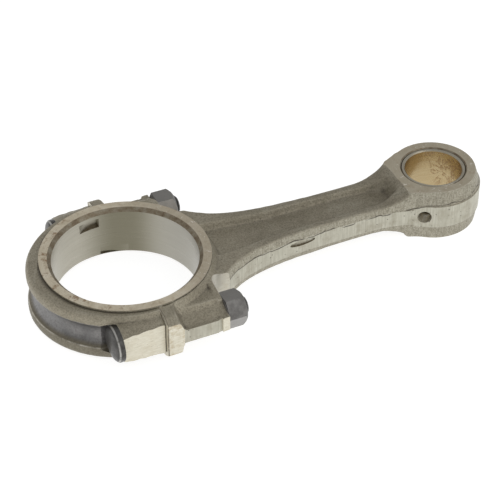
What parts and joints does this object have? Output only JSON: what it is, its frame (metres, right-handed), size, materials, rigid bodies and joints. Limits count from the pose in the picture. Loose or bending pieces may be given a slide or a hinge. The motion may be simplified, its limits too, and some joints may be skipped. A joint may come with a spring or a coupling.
{
  "type": "connecting rod",
  "caption": "Forged connecting rod with a bolted big-end cap, bushed small end, I-section shank, bolts and nuts.",
  "frame": {"origin": "centre of the big-end housing bore, halfway through its width", "axes": "+X towards the small end, +Y across the two bolts, +Z along both bores"},
  "size_m": [0.1986, 0.0862, 0.023],
  "materials": {
    "forged_steel": "as forged and shot blasted, with machined faces",
    "bronze": "honed bore, lightly stained",
    "bolt_steel": "dark heat-treated steel",
    "nut_steel": "black oxide"
  },
  "bodies": {
    "rod_assembly": {"rod": "forged_steel", "small_end_bush": "bronze"},
    "bearing_cap": {"cap": "forged_steel"},
    "near_bolt": {"bolt_near": "bolt_steel"},
    "far_bolt": {"bolt_far": "bolt_steel"},
    "near_nut": {"nut_near": "nut_steel"},
    "far_nut": {"nut_far": "nut_steel"}
  },
  "joints": [
    {"name": "cap_lift", "type": "slide", "parent": "rod_assembly", "child": "bearing_cap", "axis": [-1, 0, 0], "range_m": [0, 0.06]},
    {"name": "near_bolt_draw", "type": "slide", "parent": "bearing_cap", "child": "near_bolt", "axis": [-1, 0, 0], "range_m": [0, 0.058]},
    {"name": "far_bolt_draw", "type": "slide", "parent": "bearing_cap", "child": "far_bolt", "axis": [-1, 0, 0], "range_m": [0, 0.058]},
    {"name": "near_nut_off", "type": "slide", "parent": "rod_assembly", "child": "near_nut", "axis": [1, 0, 0], "range_m": [0, 0.014]},
    {"name": "far_nut_off", "type": "slide", "parent": "rod_assembly", "child": "far_nut", "axis": [1, 0, 0], "range_m": [0, 0.014]}
  ]
}
